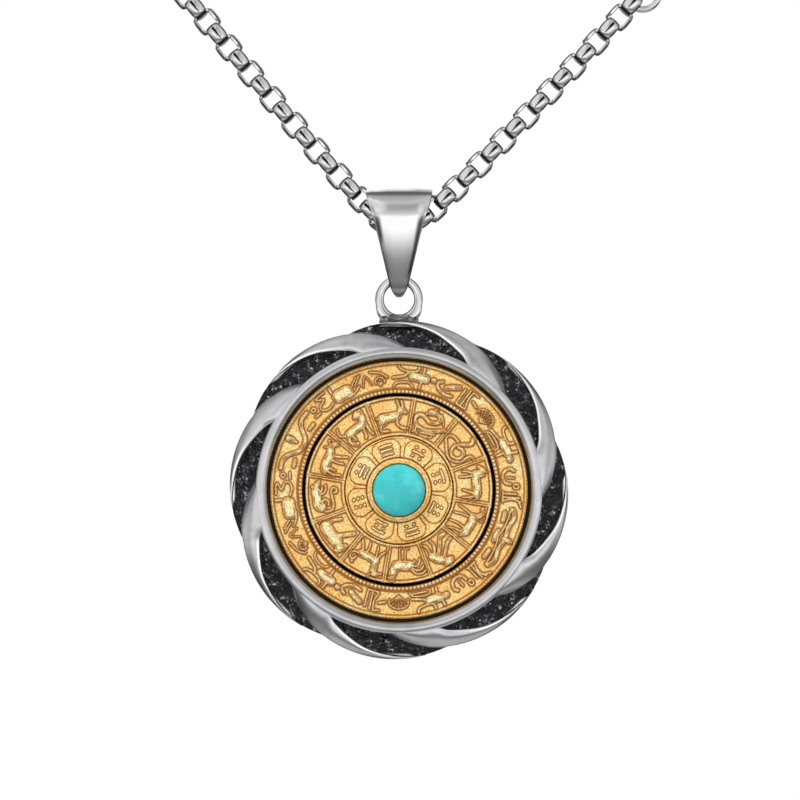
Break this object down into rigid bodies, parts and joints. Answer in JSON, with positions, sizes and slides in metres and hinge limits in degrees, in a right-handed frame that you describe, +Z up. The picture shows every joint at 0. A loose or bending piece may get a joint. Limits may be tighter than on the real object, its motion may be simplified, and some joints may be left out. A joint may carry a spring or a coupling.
{
  "type": "spinner prayer wheel pendant",
  "caption": "Round pendant with free-turning concentric gold wheels in a swirl-ribbed steel case, hung by a folded bail on a box chain.",
  "frame": {"origin": "centre of the case's flat back, on the axle of the wheels", "axes": "+Z up as the pendant hangs, -Y towards the front of the wheels, +X to the right as seen from the front"},
  "size_m": [0.0665, 0.0066, 0.0898],
  "materials": {
    "polished_steel": "mirror-polished stainless steel",
    "satin_steel": "satin stainless steel",
    "blackened_steel": "blackened, pitted antique finish",
    "gold": "matt gold plating, darker in the grooves",
    "turquoise": "glossy opaque turquoise stone",
    "bronze": "plain bearing bronze",
    "washer_plastic": "dark low-friction plastic"
  },
  "bodies": {
    "chain": {"chain_links_left": "polished_steel", "chain_links_bail": "polished_steel", "chain_links_right": "polished_steel", "clasp_ring": "polished_steel", "end_ring": "polished_steel", "clasp_body": "polished_steel", "clasp_spring": "satin_steel", "clasp_pin": "satin_steel"},
    "bail": {"bail": "polished_steel"},
    "pendant": {"case_body": "blackened_steel", "swirl_rim": "polished_steel", "bezel_ring": "polished_steel", "retaining_ring": "blackened_steel", "back_cover": "satin_steel", "hanging_loop": "polished_steel", "track_washer": "washer_plastic", "hub_sleeve": "bronze", "lower_washer": "washer_plastic", "pivot_post": "satin_steel", "stone_cup": "gold", "turquoise_cabochon": "turquoise"},
    "outer_wheel": {"outer_ring": "gold"},
    "zodiac_wheel": {"zodiac_disc": "gold"},
    "trigram_wheel": {"trigram_disc": "gold", "disc_spacer": "washer_plastic"},
    "clasp_gate": {"clasp_lever": "polished_steel"}
  },
  "joints": [
    {"name": "bail_swing", "type": "hinge", "parent": "chain", "child": "bail", "pos_m": [0, -0.003, 0.0323], "axis": [1, 0, 0], "range_deg": [-40, 40]},
    {"name": "pendant_swing", "type": "hinge", "parent": "bail", "child": "pendant", "pos_m": [0, -0.003, 0.0225], "axis": [0, 1, 0], "range_deg": [-25, 25]},
    {"name": "outer_ring_spin", "type": "hinge", "parent": "pendant", "child": "outer_wheel", "pos_m": [0, 0, 0], "axis": [0, 1, 0], "continuous": true},
    {"name": "zodiac_spin", "type": "hinge", "parent": "pendant", "child": "zodiac_wheel", "pos_m": [0, 0, 0], "axis": [0, 1, 0], "continuous": true},
    {"name": "trigram_spin", "type": "hinge", "parent": "pendant", "child": "trigram_wheel", "pos_m": [0, 0, 0], "axis": [0, 1, 0], "continuous": true},
    {"name": "clasp_gate_open", "type": "hinge", "parent": "chain", "child": "clasp_gate", "pos_m": [-0.03093, -0.003, 0.0631], "axis": [0, 1, 0], "range_deg": [0, 14], "stiffness_Nm_per_rad": 0.002, "springref_deg": -17.19}
  ]
}
